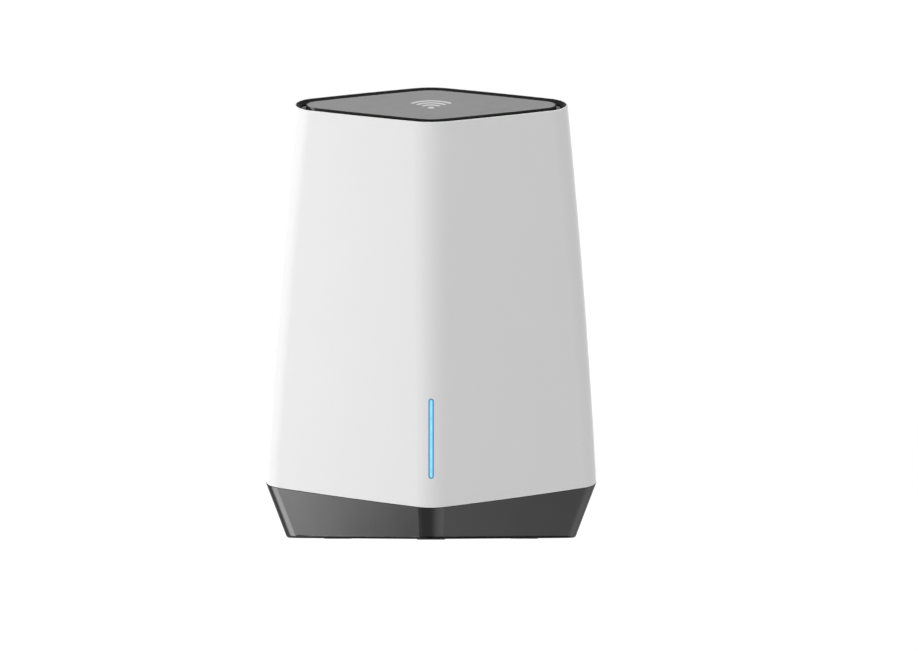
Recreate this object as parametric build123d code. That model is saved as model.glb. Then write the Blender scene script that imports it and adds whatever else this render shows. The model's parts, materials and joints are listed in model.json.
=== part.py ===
from build123d import *
import os
from collections import namedtuple
from math import atan2, cos, degrees, radians, sin, sqrt

# An upright mesh wifi node: a tapered two-part shell with a rounded-diamond plan on a darker tub,
# closed by a slanted top. The front ridge with its light strip faces -Y and the socket bay faces +Y.
# The origin is on the floor under the middle of the diamond. All sizes are in millimetres.

# ---- general ----------------------------------------------------------------------------------
REACH = 100.0  # larger than any half size, for cutting blocks
CUT = 1.0  # how far a cutting shape runs past the surface it cuts
OVERLAP = 0.5  # how far two shapes that are joined run into each other
FIT = 0.15  # gap between a part and the opening that takes it
EMBED = 1.0  # depth below the outer surface at which ribs and bosses end in a wall

# ---- outer form -------------------------------------------------------------------------------
TILT = 18.5  # slope of the top and of the line between shell and tub, rising towards the rear
SIDE_BOW = 1066.0  # radius of the slightly bowed sides of the diamond
Section = namedtuple("Section", "height half_width half_depth side_radius ridge_radius")
WAIST = Section(31.7, 92.5, 42.0, 11.2, 21.2)
MIDDLE = Section(137.7, 85.7, 38.9, 12.7, 25.0)
TOP = Section(243.2, 76.5, 34.9, 14.3, 28.9)
FOOTPRINT = Section(0.5, 80.7, 37.9, 9.5, 19.0)
SHELL_WALL = 2.2
SEAM_GAP = 0.12
TUB_WALL = 2.4
TUB_FLOOR = 2.4
FLOOR_TOP = FOOTPRINT.height + TUB_FLOOR
TUB_EDGE_RADIUS = 2.0
RIM_RADIUS = 0.55
LINING_INSET = 0.3  # the bay lining stands this far inside the outer surface
TONGUE_THICK = 1.2 - FIT  # tongue of the front shell that locates the rear shell
TONGUE_ROOT = 6.0
TONGUE_REACH = 2.5
TONGUE_LOW = WAIST.height + 6.0
TONGUE_HIGH = TOP.height - 16.0
LIP_GAP = 0.4  # lip of the tub that stands inside the shell
LIP_THICK = 1.2
LIP_HEIGHT = 3.0
LIP_NOTCH = 5.0
VENT_COUNT = 11  # vents in the floor of the tub
VENT_PITCH = 6.4
VENT_LENGTH = 22.0
VENT_WIDTH = 2.4

# ---- top cap: heights from the slanted top plane, insets from its outline ---------------------
CAP_RIM = 0.7  # shell edge left standing round the cap
CAP_GAP = 0.1
CAP_DEPTH = 4.4
CAP_DROP = 0.2  # cap rim below the shell edge
CAP_LAND = 0.2  # flat edge of the cap outside its groove
GROOVE_EDGE = CAP_RIM + CAP_GAP + CAP_LAND
GROOVE_OUT = GROOVE_EDGE + 1.4  # foot of the groove's sloping outer side
GROOVE_IN = GROOVE_EDGE + 5.3
GROOVE_SLOPE_END = 2.2
GROOVE_FLOOR = 2.8
COLLAR_THICK = 0.6
COLLAR_DROP = 0.1
PLATE_POCKET = GROOVE_IN + COLLAR_THICK
PLATE_INSET = PLATE_POCKET + 0.1
PLATE_SEAT = 1.7
PLATE_ROUND = 0.3
CAP_FLOOR = 1.5
CAP_SKIRT = 2.0
CAP_VENT_COUNT = 7
CAP_VENT_LENGTH = 6.2
CAP_VENT_WIDTH = 1.6
CAP_SCREWS = [(x, v) for x in (-46.0, 46.0) for v in (-14.0, 10.0)]
CAP_SCREW_LENGTH = 6.5
CAP_BOSS_RADIUS = 3.0
CAP_EAR_TOP = 8.0
CAP_EAR_THICK = 2.5
CAP_EAR_HALF_WIDTH = 4.5
CAP_EAR_LIP = 4.0

# ---- light strip ------------------------------------------------------------------------------
STRIP_Z = 56.1
STRIP_WIDTH = 3.0
STRIP_HEIGHT = 44.4
STRIP_GAP = 0.1
STRIP_DROP = 0.25  # face of the light pipe below the ridge
PIPE_FLANGE = 1.5  # lip of the pipe's flange round the slot
PIPE_FLANGE_FRONT = -37.4
PIPE_FLANGE_REAR = -35.9
PIPE_END = -29.6
PIPE_ROOM = 0.4
SHROUD_HALF_WIDTH = 7.0
SHROUD_LOW = 30.5
SHROUD_HIGH = 84.0
SHROUD_FACE = -33.6
SHROUD_REAR = -26.2
LIGHT_EAR_REAR = -33.4
LIGHT_EAR_HALF = 4.0
LIGHT_SCREW_Z = (26.5, 87.0)
LIGHT_SCREW_LENGTH = 5.2
LIGHT_BOSS_RADIUS = 3.0
LIGHT_PILOT_DEPTH = 3.0
LED_BOARD_FRONT = -28.2
LED_BOARD_REAR = -27.2
LED_BOARD_HALF_WIDTH = 4.0
LED_BOARD_LOW = 32.6
LED_BOARD_HIGH = 82.0
LED_BOARD_GAP = 0.2
LED_COUNT = 6
LED_PITCH = 8.0
LED_FIRST_Z = 36.0
LED_HALF_WIDTH = 1.4
LED_HALF_HEIGHT = 0.8
LED_THICK = 1.0
RIBBON_THICK = 0.4
RIBBON_HALF_WIDTH = 2.5
RIBBON_TOP = 40.0
RIBBON_LOW = 20.5
RIBBON_BEND = 5.0

# ---- socket bay -------------------------------------------------------------------------------
BAY_FACE = 16.6  # outer face of the socket panel
BAY_WALL = 1.8
BAY_HALF_WIDTH = 56.0
BAY_LOW = 20.0
BAY_HIGH = 62.0
BAY_CORNER = 4.0
BAY_MOUTH = 60.0  # where the flared bay outline is drawn, outside the shell
BAY_MOUTH_HALF_WIDTH = 60.0
BAY_MOUTH_LOW = 19.0
BAY_MOUTH_HIGH = 84.0
BAY_MOUTH_CORNER = 6.0
PANEL_BACK = BAY_FACE - BAY_WALL

# ---- boards and frame -------------------------------------------------------------------------
BOARD_FRONT = -1.6
BOARD_REAR = 0.0
BOARD_HALF_WIDTH = 64.0
BOARD_LOW = 14.0
BOARD_HIGH = 205.0
BOARD_CORNER = 2.0
BOARD_SCREWS = [(x, z) for x in (-60.5, 60.5) for z in (20.0, 199.0)]
BOARD_SCREW_LENGTH = 6.0
SINK_SCREWS = [(x, z) for x in (-48.75, 48.75) for z in (92.0, 188.0)]
SINK_HALF_WIDTH = 54.0
SINK_HIGH = 196.0
FRONT_SINK_LOW = 50.0
REAR_SINK_LOW = 84.0
SINK_PLATE = 3.0
FRONT_SINK_FACE = -4.8
REAR_SINK_FACE = 4.0
FIN_PITCH = 7.5
FIN_THICK = 1.4
FIN_COUNT = 15
FIN_LONGEST = 24.0  # furthest tip from the middle plane
FIN_PEAK = 33.0  # the tips follow a line from here on the middle plane, falling to the sides
FIN_FALL = 0.355
FRAME_FRONT = -7.0
FRAME_HALF_WIDTH = 68.0
FRAME_LOW = 8.0
FRAME_HIGH = 210.0
FRAME_SIDE = 11.0
FRAME_END = 8.0
FRAME_FOOT_TOP = 12.0
FRAME_FOOT_HALF_WIDTH = 5.0
FRAME_FOOT_REACH = 14.0
FRAME_RIB_TOP = 30.0
FRAME_RIB_HALF = 1.2

# ---- chips, cans and pads: (left, right), (low, high) -----------------------------------------
PROCESSOR = ((-9.0, 9.0), (107.0, 125.0))
PROCESSOR_THICK = 1.4
MEMORY = [((10.5, 18.5), (99.0, 111.0)), ((10.5, 18.5), (115.0, 127.0)), ((-42.0, -30.0), (100.0, 108.0))]
MEMORY_THICK = 1.2
PROCESSOR_CAN = ((-20.0, 20.0), (96.0, 136.0))
FRONT_RADIO_CANS = [((-50.0, -24.0), (142.0, 180.0)), ((24.0, 50.0), (142.0, 180.0))]
REAR_RADIO_CAN = ((-20.0, 20.0), (120.0, 170.0))
CAN_HEIGHT = 2.2
SHEET = 0.3
PAD_MARGIN = 4.0

# ---- network sockets: plug opening heights are from the socket's middle -----------------------
SOCKET_Z = 32.5
SOCKET_X = [-27.5, -10.5, 6.5, 23.5]
SOCKET_DEPTH = 16.2
SOCKET_HALF_WIDTH = 8.0
SOCKET_HALF_HEIGHT = 6.9
INSERT_GAP = 0.05
PLUG_HALF_WIDTH = 5.9
PLUG_LOW = -4.4
PLUG_HIGH = 2.4
PLUG_BACK = 3.5
LATCH_HALF_WIDTH = 3.2
LATCH_HIGH = 3.9
LATCH_TIP_HALF_WIDTH = 1.6
LATCH_TIP_HIGH = 5.1
WINDOW_INNER = 4.3
WINDOW_OUTER = 6.7
WINDOW_LOW = 4.3
WINDOW_HIGH = 5.9
WINDOW_BACK = 13.8
CONTACT_COUNT = 8
CONTACT_PITCH = 1.02
CONTACT_HALF_WIDTH = 0.23
CONTACT_THICK = 0.4
CONTACT_FRONT = 14.4
CONTACT_BACK_LOW = -1.3

# ---- power inlet, buttons and switches --------------------------------------------------------
POWER_X = 43.0
POWER_SOCKET_WIDTH = 9.0
POWER_SOCKET_HEIGHT = 11.0
POWER_SOCKET_CORNER = 0.4
POWER_BORE_BACK = 6.0
POWER_BORE_RADIUS = 3.1
POWER_PIN_RADIUS = 1.0
POWER_PIN_END = 15.0
POWER_BUTTON_Z = 50.0
POWER_KEY_WIDTH = 9.0
POWER_KEY_CORNER = 2.0
POWER_KEY_END = 19.0
POWER_KEY_BACK = 12.4
POWER_FLANGE_WIDTH = 11.4
POWER_FLANGE_END = 14.4
POWER_STEM_WIDTH = 4.0
POWER_SWITCH_WIDTH = 8.5
POWER_SWITCH_TOP = 8.0
POWER_PLUNGER_WIDTH = 3.2
POWER_PLUNGER_BACK = 4.0
POWER_PLUNGER_END = 10.4
POWER_TRAVEL_ROOM = 2.4
KEY_GAP = 0.2
KEY_ROUND = 0.5
SYNC_X = -46.0
SYNC_KEY_RADIUS = 3.25
SYNC_KEY_BACK = 13.0
SYNC_KEY_END = 17.4
SYNC_FLANGE_RADIUS = 4.4
SYNC_FLANGE_END = 14.6
SYNC_STEM_RADIUS = 2.0
SYNC_PLUNGER_END = 6.0
RESET_Z = 46.0
RESET_PLUNGER_END = 11.0
PINHOLE_RADIUS = 1.0
PINHOLE_TUBE_RADIUS = 2.8
PINHOLE_TUBE_BACK = 12.0
TACT_HALF_WIDTH = 3.0
TACT_TOP = 3.4
TACT_BORE_BACK = 1.2
TACT_PLUNGER_BACK = 2.0
TACT_PLUNGER_RADIUS = 1.7
PLUNGER_GAP = 0.1

# ---- fasteners --------------------------------------------------------------------------------
SCREW_RADIUS = 1.5
PILOT_RADIUS = 1.55
CLEAR_RADIUS = PILOT_RADIUS + FIT
HEAD_RADIUS = 2.8
HEAD_HEIGHT = 1.7
HEAD_ROUND = 0.6
CROSS_LENGTH = 3.2
CROSS_WIDTH = 0.8
CROSS_DEPTH = 1.0
FRAME_SCREWS = [(x, y) for x in (-45.0, 45.0) for y in (-10.0, 10.0)]
SHELL_SCREWS = [(-30.0, -20.0), (30.0, -20.0), (-67.0, 4.0), (67.0, 4.0)]
BASE_SCREW_LENGTH = 8.0
TUB_BOSS_RADIUS = 4.2
TUB_BOSS_TOP = 8.0
TUB_HEAD_SEAT = 4.0
HEAD_WELL_RADIUS = HEAD_RADIUS + 0.5
POST_RADIUS = 3.2  # posts of the shell that stand on the bosses of the tub
POST_TOP = 46.0
POST_PILOT_TOP = 18.0
POST_RIB_LOW = 30.0
POST_RIB_HALF = 1.0
FEET = {"front": (0.0, -26.0), "rear": (0.0, 26.0), "left": (-52.0, 0.0), "right": (52.0, 0.0)}
FOOT_LENGTH = 16.0
FOOT_WIDTH = 7.0
FOOT_TOP = 2.0
FOOT_ROUND = 0.5

# ---- aerials and their leads: plans are (x, z) on the right-hand side -------------------------
SIDE_AERIALS = {"low": ((70.0, 82.0), (60.0, 112.0)), "high": ((70.0, 77.5), (130.0, 182.0))}
TOP_AERIAL = ((14.0, 50.0), (213.0, 233.0))
AERIAL_THICK = 0.8
STAKE_RADIUS = 1.0
STAKE_GAP = 0.05
SIDE_STAKE_X = 72.5
SIDE_TAB = (67.0, 75.0)
SIDE_TAB_HALF_HEIGHT = 5.0
TOP_STAKE = (32.0, 217.0)
TOP_TAB_HALF = 4.0
CABLE_RADIUS = 0.6
CABLE_Y = 0.65
CABLE_BEND = 5.0
SOLDER_HALF = 1.0
LEAD_PLUG_RADIUS = 1.4
LEAD_PLUG_TOP = 1.6
LEAD_ROUTES = [
    [(74.0, 66.0), (67.0, 72.0), (67.0, 112.0), (59.0, 118.0)],
    [(74.0, 176.0), (67.0, 170.0), (67.0, 140.0), (59.0, 134.0)],
    [(46.0, 216.0), (55.5, 206.0), (55.5, 166.0)],
]


# ---- drawing helpers --------------------------------------------------------------------------
def block(x, y, z):
    """Box between two corners, given as one (low, high) pair for each axis."""
    centre = Pos((x[0] + x[1]) / 2, (y[0] + y[1]) / 2, (z[0] + z[1]) / 2)
    return centre * Box(x[1] - x[0], y[1] - y[0], z[1] - z[0])


def around(middle, half):
    """The (low, high) pair that reaches half to both sides of middle."""
    return (middle - half, middle + half)


def mirrored(pair, side):
    """A (low, high) pair of the right-hand side, for that side (-1 left, 1 right)."""
    return tuple(sorted((side * pair[0], side * pair[1])))


def rod(start, end, radius):
    """Round bar between two points."""
    along = Vector(*end) - Vector(*start)
    return extrude(Plane(origin=start, z_dir=along) * Circle(radius), amount=along.length)


def bar_y(x, z, y, width, height, radius):
    """Bar along Y with a rounded rectangular section, between the two Y values."""
    face = Plane(origin=(x, y[0], z), x_dir=(1, 0, 0), z_dir=(0, 1, 0))
    return extrude(face * RectangleRounded(width, height, radius), amount=y[1] - y[0])


def strip_bar(y, grow):
    """Bar along Y with the round-ended outline of the light strip, enlarged by grow."""
    face = Plane(origin=(0, y[0], STRIP_Z), x_dir=(1, 0, 0), z_dir=(0, 1, 0))
    outline = SlotOverall(STRIP_HEIGHT + 2 * grow, STRIP_WIDTH + 2 * grow, rotation=90)
    return extrude(face * outline, amount=y[1] - y[0])


def slanted(height):
    """Plane with the slope of the top, at that height above the origin."""
    up = (0, -sin(radians(TILT)), cos(radians(TILT)))
    return Plane(origin=(0, 0, height), x_dir=(1, 0, 0), z_dir=up)


def diamond(half_width, half_depth, side_radius, ridge_radius, bow):
    """Rounded diamond: an arc at each corner, joined by four long tangent arcs."""
    side = Vector(half_width - side_radius, 0)
    ridge = Vector(0, half_depth - ridge_radius)
    span = (ridge - side).length
    reach_side = bow - side_radius
    reach_ridge = bow - ridge_radius
    along = (reach_side**2 - reach_ridge**2 + span**2) / (2 * span)
    across = sqrt(reach_side**2 - along**2)
    unit = (ridge - side).normalized()
    bow_centre = side + unit * along + Vector(unit.Y, -unit.X) * -across
    if bow_centre.Y > 0:
        bow_centre = side + unit * along + Vector(unit.Y, -unit.X) * across
    a = side + (side - bow_centre).normalized() * side_radius
    c = ridge + (ridge - bow_centre).normalized() * ridge_radius
    b = bow_centre + ((a + c) * 0.5 - bow_centre).normalized() * bow
    arcs = [
        ThreePointArc((a.X, -a.Y), (half_width, 0), (a.X, a.Y)),
        ThreePointArc((a.X, a.Y), (b.X, b.Y), (c.X, c.Y)),
        ThreePointArc((c.X, c.Y), (0, half_depth), (-c.X, c.Y)),
        ThreePointArc((-c.X, c.Y), (-b.X, b.Y), (-a.X, a.Y)),
        ThreePointArc((-a.X, a.Y), (-half_width, 0), (-a.X, -a.Y)),
        ThreePointArc((-a.X, -a.Y), (-b.X, -b.Y), (-c.X, -c.Y)),
        ThreePointArc((-c.X, -c.Y), (0, -half_depth), (c.X, -c.Y)),
        ThreePointArc((c.X, -c.Y), (b.X, -b.Y), (a.X, -a.Y)),
    ]
    return Face(Wire(arcs))


def slanted_face(section, inset):
    """Outline of the body at a section, in its slanted plane, moved inwards by inset."""
    in_plane_depth = section.half_depth / cos(radians(TILT))
    return slanted(section.height) * diamond(
        section.half_width - inset,
        in_plane_depth - inset,
        section.side_radius - inset,
        section.ridge_radius - inset,
        SIDE_BOW - inset,
    )


def shell_form(inset):
    """Solid of the tapered shell, moved inwards by inset."""
    return loft([slanted_face(section, inset) for section in (WAIST, MIDDLE, TOP)])


def tub_form(inset, floor=0.0):
    """Solid of the tub below the slanted waist, moved inwards by inset and up by floor."""
    level = Plane.XY.offset(FOOTPRINT.height + floor)
    bottom = level * diamond(
        FOOTPRINT.half_width - inset,
        FOOTPRINT.half_depth - inset,
        FOOTPRINT.side_radius - inset,
        FOOTPRINT.ridge_radius - inset,
        SIDE_BOW - inset,
    )
    return loft([slanted_face(WAIST, inset), bottom], ruled=True)


def slab(section, inset, low, high):
    """Upright prism of a section's outline moved inwards, between two heights above its plane."""
    face = Pos(0, 0, low) * slanted_face(section, inset)
    return extrude(face, amount=high - low, dir=(0, 0, 1))


def ring(section, outer, inner, low, high):
    """Upright band between two insets of a section's outline."""
    return slab(section, outer, low, high) - slab(section, inner, low, high)


def bay_form(grow):
    """Solid of the socket bay, flaring outwards to the rear, enlarged by grow."""
    faces = []
    for y, half_width, low, high, corner in (
        (BAY_FACE - grow, BAY_HALF_WIDTH, BAY_LOW, BAY_HIGH, BAY_CORNER),
        (BAY_MOUTH, BAY_MOUTH_HALF_WIDTH, BAY_MOUTH_LOW, BAY_MOUTH_HIGH, BAY_MOUTH_CORNER),
    ):
        plane = Plane(origin=(0, y, (low + high) / 2), x_dir=(1, 0, 0), z_dir=(0, 1, 0))
        size = (2 * (half_width + grow), high - low + 2 * grow)
        faces.append(plane * RectangleRounded(*size, corner + grow))
    return loft(faces, ruled=True)


def screw(seat, direction, length):
    """Pan-head screw with a cross recess: seat is the underside of its head."""
    way = Vector(*direction).normalized()
    seat = Vector(*seat)
    back = seat - way * HEAD_HEIGHT
    shank = rod(tuple(seat), tuple(seat + way * length), SCREW_RADIUS)
    head = rod(tuple(back), tuple(seat), HEAD_RADIUS)
    rim = head.edges().group_by(lambda edge: (edge.center() - back).dot(way))[0]
    head = fillet(rim, HEAD_ROUND)
    cross_plane = Plane(origin=tuple(back), z_dir=way)
    cross = Rectangle(CROSS_LENGTH, CROSS_WIDTH) + Rectangle(CROSS_WIDTH, CROSS_LENGTH)
    return head + shank - extrude(cross_plane * cross, amount=CROSS_DEPTH)


# ---- casing -----------------------------------------------------------------------------------
def shell_wall():
    """Whole shell before it is split: wall, rounded rims and the step that holds the cap."""
    wall = shell_form(0) - shell_form(SHELL_WALL)
    flat = [face for face in wall.faces() if face.geom_type == GeomType.PLANE]
    rims = [face for face in flat if abs(face.normal_at().dot(slanted(0).z_dir)) > 0.999]
    edges = [edge for rim in rims for edge in rim.outer_wire().edges()]
    wall = fillet(edges, RIM_RADIUS)
    return wall - slab(TOP, CAP_RIM, -CAP_DEPTH, CUT)


def cap_ear(x, v):
    """Ear inside the shell that takes a cap screw from below."""
    side = 1 if v > 0 else -1
    low = -CAP_EAR_TOP - CAP_EAR_THICK
    along = sorted((v - side * CAP_EAR_LIP, side * REACH))
    plate = block(around(x, CAP_EAR_HALF_WIDTH), along, (low, -CAP_EAR_TOP))
    hole = rod((x, v, low - CUT), (x, v, 0), CLEAR_RADIUS)
    return (slanted(TOP.height) * (plate - hole)) & shell_form(EMBED)


def screw_post(x, y):
    """Post under the shell wall that reaches down to a boss of the tub, with its rib."""
    post = rod((x, y, TUB_BOSS_TOP), (x, y, POST_TOP), POST_RADIUS)
    outwards = sorted((y, REACH if y > 0 else -REACH))
    rib = block(around(x, POST_RIB_HALF), outwards, (POST_RIB_LOW, POST_TOP)) & shell_form(EMBED)
    lip_room = SHELL_WALL + LIP_GAP + LIP_THICK + OVERLAP
    lip_clearance = ring(WAIST, SHELL_WALL, lip_room, -CUT, LIP_HEIGHT + CUT)
    return post + (rib - lip_clearance) - rod((x, y, 0), (x, y, POST_PILOT_TOP), PILOT_RADIUS)


def half_space(side):
    """Everything in front of (-1) or behind (1) the seam between the two shells."""
    limits = sorted((side * SEAM_GAP / 2, side * REACH))
    return block((-REACH, REACH), limits, (0, 3 * REACH))


def seam_tongue():
    """Tongue inside the seam: a root on the front shell's wall and a lip that reaches behind."""
    inner = shell_form(SHELL_WALL + FIT + TONGUE_THICK)
    root = shell_form(SHELL_WALL - OVERLAP) - inner
    lip = shell_form(SHELL_WALL + FIT) - inner
    across = (-REACH, REACH)
    span = (TONGUE_LOW, TONGUE_HIGH)
    joint = -SEAM_GAP / 2
    return (root & block(across, (-TONGUE_ROOT, joint), span)) + (
        lip & block(across, (joint, TONGUE_REACH), span)
    )


def front_shell():
    """Front casing with the light slot, its screw bosses and the tongue along the seam."""
    shell = shell_wall() & half_space(-1)
    for z in LIGHT_SCREW_Z:
        boss = rod((0, PIPE_FLANGE_REAR, z), (0, -REACH, z), LIGHT_BOSS_RADIUS)
        shell = shell + (boss & shell_form(EMBED))
    shell = shell + seam_tongue()
    for x, v in CAP_SCREWS:
        if v < 0:
            shell = shell + cap_ear(x, v)
    for x, y in SHELL_SCREWS[:2]:
        shell = shell + screw_post(x, y)
    for z in LIGHT_SCREW_Z:
        mouth = (0, PIPE_FLANGE_REAR + CUT, z)
        shell = shell - rod(mouth, (0, PIPE_FLANGE_REAR - LIGHT_PILOT_DEPTH, z), PILOT_RADIUS)
    return shell - strip_bar((-REACH, PIPE_FLANGE_REAR), 0)


def rear_shell():
    """Rear casing, cut away round the socket bay."""
    shell = shell_wall() & half_space(1)
    for x, v in CAP_SCREWS:
        if v > 0:
            shell = shell + cap_ear(x, v)
    for x, y in SHELL_SCREWS[2:]:
        shell = shell + screw_post(x, y)
    return shell - bay_form(BAY_WALL + FIT)


def tub_lip():
    """Lip of the tub that stands inside the shell and locates it, with a gap at the light strip."""
    outer = SHELL_WALL + LIP_GAP
    inner = outer + LIP_THICK
    lip = ring(WAIST, outer, inner, -LIP_HEIGHT, LIP_HEIGHT)
    root = ring(WAIST, SHELL_WALL - OVERLAP, inner, -LIP_HEIGHT, -CAP_GAP) & tub_form(EMBED)
    return lip + root - block((-LIP_NOTCH, LIP_NOTCH), (-REACH, PIPE_END), (0, REACH))


def tub():
    """Dark lower casing: floor with vents, screw bosses, foot recesses and the locating lip."""
    outside = tub_form(0)
    floor_edges = outside.faces().sort_by(Axis.Z)[0].edges()
    shape = fillet(floor_edges, TUB_EDGE_RADIUS) - tub_form(TUB_WALL, TUB_FLOOR)
    shape = shape + tub_lip()
    for x, y in FRAME_SCREWS + SHELL_SCREWS:
        shape = shape + rod((x, y, FLOOR_TOP - OVERLAP), (x, y, TUB_BOSS_TOP), TUB_BOSS_RADIUS)
        shape = shape - rod((x, y, 0), (x, y, TUB_HEAD_SEAT), HEAD_WELL_RADIUS)
        shape = shape - rod((x, y, 0), (x, y, TUB_BOSS_TOP + CUT), CLEAR_RADIUS)
    for name in FEET:
        shape = shape - foot_form(name, FIT)
    vent = extrude(SlotOverall(VENT_LENGTH, VENT_WIDTH, rotation=90), amount=FLOOR_TOP + CUT)
    for k in range(VENT_COUNT):
        shape = shape - Pos((k - (VENT_COUNT - 1) / 2) * VENT_PITCH, 0, 0) * vent
    return shape - bay_form(BAY_WALL + FIT)


def foot_form(name, grow):
    """Solid of a rubber pad, its plan enlarged by grow."""
    x, y = FEET[name]
    plan = Pos(x, y) * SlotOverall(FOOT_LENGTH + 2 * grow, FOOT_WIDTH + 2 * grow)
    return extrude(plan, amount=FOOT_TOP)


def foot_pad(name):
    """Oval rubber pad under the tub, pressed into its recess."""
    pad = foot_form(name, 0)
    return fillet(pad.edges().group_by(Axis.Z)[0], FOOT_ROUND)


def cap_bezel():
    """Black cap: a grooved rim with vent slots, round the pocket of the top plate."""
    plane = slanted(TOP.height)
    shape = slab(TOP, CAP_RIM + CAP_GAP, -CAP_DEPTH, -CAP_DROP)
    slope_top = Pos(0, 0, -CAP_DROP) * slanted_face(TOP, GROOVE_EDGE)
    slope_foot = Pos(0, 0, -GROOVE_SLOPE_END) * slanted_face(TOP, GROOVE_OUT)
    shape = shape - loft([slope_top, slope_foot], ruled=True)
    shape = shape - slab(TOP, GROOVE_OUT, -GROOVE_FLOOR, -GROOVE_SLOPE_END)
    shape = shape + slab(TOP, GROOVE_IN, -GROOVE_FLOOR - OVERLAP, -COLLAR_DROP)
    shape = shape - slab(TOP, PLATE_POCKET, -PLATE_SEAT, CUT)
    underside = -PLATE_SEAT - CAP_FLOOR
    shape = shape - slab(TOP, PLATE_POCKET + CAP_SKIRT, -CAP_DEPTH - CUT, underside)
    for vent in cap_vents():
        shape = shape - plane * vent
    for x, v in CAP_SCREWS:
        boss = rod((x, v, -GROOVE_FLOOR - FIT), (x, v, -CAP_EAR_TOP), CAP_BOSS_RADIUS)
        pilot = rod((x, v, -GROOVE_FLOOR - CUT), (x, v, -CAP_EAR_TOP - CUT), PILOT_RADIUS)
        shape = shape + plane * boss - plane * pilot
    return shape


def cap_vents():
    """Short slots along the floor of the cap's groove, drawn in the plane of the top."""
    slots = []
    middle = (GROOVE_OUT + GROOVE_IN) / 2
    side = Vector(TOP.half_width - TOP.side_radius, 0)
    ridge = Vector(0, TOP.half_depth / cos(radians(TILT)) - TOP.ridge_radius)
    turn = atan2(TOP.ridge_radius - TOP.side_radius, (ridge - side).length)
    slope = atan2(ridge.Y, side.X) + turn
    normal = Vector(sin(slope), cos(slope))
    start = side + normal * (TOP.side_radius - middle)
    end = ridge + normal * (TOP.ridge_radius - middle)
    for k in range(CAP_VENT_COUNT):
        at = start + (end - start) * ((k + 0.5) / CAP_VENT_COUNT)
        for sx in (-1, 1):
            for sy in (-1, 1):
                oval = SlotOverall(CAP_VENT_LENGTH, CAP_VENT_WIDTH, rotation=-degrees(slope) * sx * sy)
                place = Pos(sx * at.X, sy * at.Y, -GROOVE_FLOOR)
                slots.append(place * extrude(oval, CAP_DEPTH - GROOVE_FLOOR + CUT, both=True))
    return slots


def top_plate():
    """Grey plate lying in the cap."""
    plate = slab(TOP, PLATE_INSET, -PLATE_SEAT, 0)
    upper = plate.faces().filter_by(GeomType.PLANE).sort_by(Axis.Z)[-1]
    return fillet(upper.edges(), PLATE_ROUND)


# ---- socket bay -------------------------------------------------------------------------------
def port_bay():
    """Black lining of the bay: socket panel, ceiling, floor and cheeks, trimmed to the casing."""
    lining = bay_form(BAY_WALL) - bay_form(0)
    shape = (lining & shell_form(LINING_INSET)) + (lining & tub_form(LINING_INSET))
    tube_end = (SYNC_X, PANEL_BACK + OVERLAP, RESET_Z)
    shape = shape + rod((SYNC_X, PINHOLE_TUBE_BACK, RESET_Z), tube_end, PINHOLE_TUBE_RADIUS)
    through = (PINHOLE_TUBE_BACK - CUT, BAY_FACE + CUT)
    wide = 2 * (SOCKET_HALF_WIDTH + FIT)
    tall = 2 * (SOCKET_HALF_HEIGHT + FIT)
    for x in SOCKET_X:
        shape = shape - bar_y(x, SOCKET_Z, through, wide, tall, KEY_ROUND)
    wide = POWER_SOCKET_WIDTH + 2 * FIT
    tall = POWER_SOCKET_HEIGHT + 2 * FIT
    shape = shape - bar_y(POWER_X, SOCKET_Z, through, wide, tall, KEY_ROUND)
    wide = POWER_KEY_WIDTH + 2 * KEY_GAP
    shape = shape - bar_y(POWER_X, POWER_BUTTON_Z, through, wide, wide, POWER_KEY_CORNER + KEY_GAP)
    for z, radius in ((SOCKET_Z, SYNC_KEY_RADIUS + KEY_GAP), (RESET_Z, PINHOLE_RADIUS)):
        shape = shape - rod((SYNC_X, through[0], z), (SYNC_X, through[1], z), radius)
    return shape


def plug_opening(grow, y):
    """Stepped opening that a network plug enters, with its latch notch upwards."""
    main = block(around(0, PLUG_HALF_WIDTH + grow), y, (PLUG_LOW - grow, PLUG_HIGH + grow))
    latch = block(around(0, LATCH_HALF_WIDTH + grow), y, (PLUG_HIGH - OVERLAP, LATCH_HIGH + grow))
    tip = block(around(0, LATCH_TIP_HALF_WIDTH + grow), y, (LATCH_HIGH - OVERLAP, LATCH_TIP_HIGH + grow))
    return main + latch + tip


def socket_window(side, y, grow):
    """Small window above the plug opening for a link light."""
    low, high = mirrored((WINDOW_INNER, WINDOW_OUTER), side)
    return block((low - grow, high + grow), y, (WINDOW_LOW - grow, WINDOW_HIGH + grow))


def socket_shield():
    """Folded sheet shield round a network socket."""
    half = SOCKET_HALF_WIDTH
    tall = SOCKET_HALF_HEIGHT
    outer = block((-half, half), (0, SOCKET_DEPTH), (-tall, tall))
    hollow = (-CUT, SOCKET_DEPTH - SHEET)
    inner = block(around(0, half - SHEET), hollow, around(0, tall - SHEET))
    mouth = (SOCKET_DEPTH - CUT, SOCKET_DEPTH + CUT)
    shape = outer - inner - plug_opening(FIT, mouth)
    for side in (-1, 1):
        shape = shape - socket_window(side, mouth, INSERT_GAP)
    return shape


def socket_insert():
    """Moulded body inside the shield, with the plug cavity and light windows."""
    half = SOCKET_HALF_WIDTH - SHEET - INSERT_GAP
    tall = SOCKET_HALF_HEIGHT - SHEET - INSERT_GAP
    body = block((-half, half), (INSERT_GAP, SOCKET_DEPTH - SHEET - INSERT_GAP), (-tall, tall))
    shape = body - plug_opening(0, (PLUG_BACK, SOCKET_DEPTH + CUT))
    for side in (-1, 1):
        shape = shape - socket_window(side, (WINDOW_BACK, SOCKET_DEPTH + CUT), INSERT_GAP)
    return shape


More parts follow.
